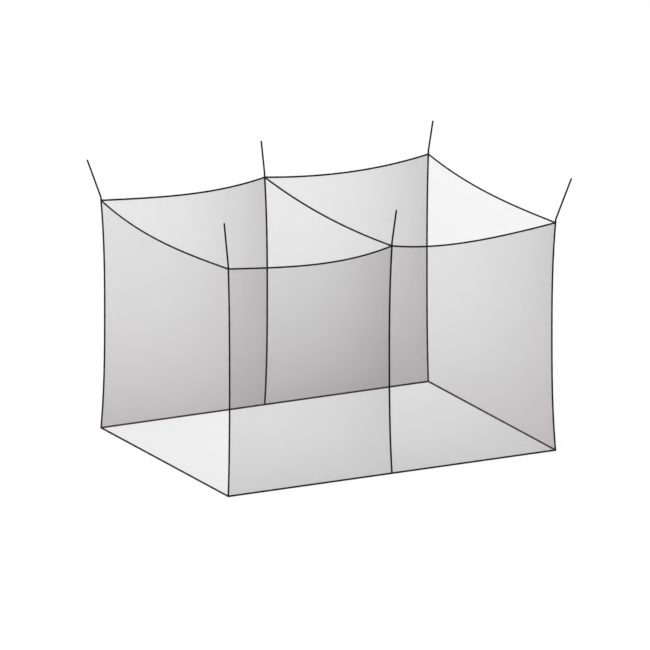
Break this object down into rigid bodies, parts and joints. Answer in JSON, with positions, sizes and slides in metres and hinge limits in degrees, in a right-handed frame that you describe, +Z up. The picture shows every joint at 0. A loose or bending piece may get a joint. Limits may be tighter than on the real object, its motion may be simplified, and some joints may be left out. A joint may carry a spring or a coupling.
{
  "type": "mosquito net canopy",
  "caption": "Box-shaped mosquito net for a double bed, open underneath, with sagging roof panels, bound seams and hem, and tie cords at its corners and the middles of its long sides.",
  "frame": {"origin": "middle of the rectangular foot, on the floor under the hem binding", "axes": "+X along the bed's length to the right as seen from the front, +Y from the front long side to the back one, +Z up to the hanging points"},
  "size_m": [2.3426, 1.8145, 1.7296],
  "materials": {
    "netting": "sheer knitted net of graphite grey yarn, matt, mostly see-through",
    "binding": "near-black woven tape rolled over the seam and stitched, matt",
    "tie_cord": "near-black braided cord, matt"
  },
  "bodies": {
    "root": {"roof_left": "netting", "roof_right": "netting", "front_left": "netting", "front_right": "netting", "back_left": "netting", "back_right": "netting", "end_left": "netting", "end_right": "netting", "top_binding_front_left": "binding", "top_binding_front_right": "binding", "top_binding_back_left": "binding", "top_binding_back_right": "binding", "top_binding_end_left": "binding", "top_binding_end_right": "binding", "top_binding_middle": "binding", "upright_front_left": "binding", "upright_front_middle": "binding", "upright_front_right": "binding", "upright_back_left": "binding", "upright_back_middle": "binding", "upright_back_right": "binding", "hem_front": "binding", "hem_back": "binding", "hem_left": "binding", "hem_right": "binding", "tie_front_left": "tie_cord", "tie_front_middle": "tie_cord", "tie_front_right": "tie_cord", "tie_back_left": "tie_cord", "tie_back_middle": "tie_cord", "tie_back_right": "tie_cord"}
  },
  "joints": []
}
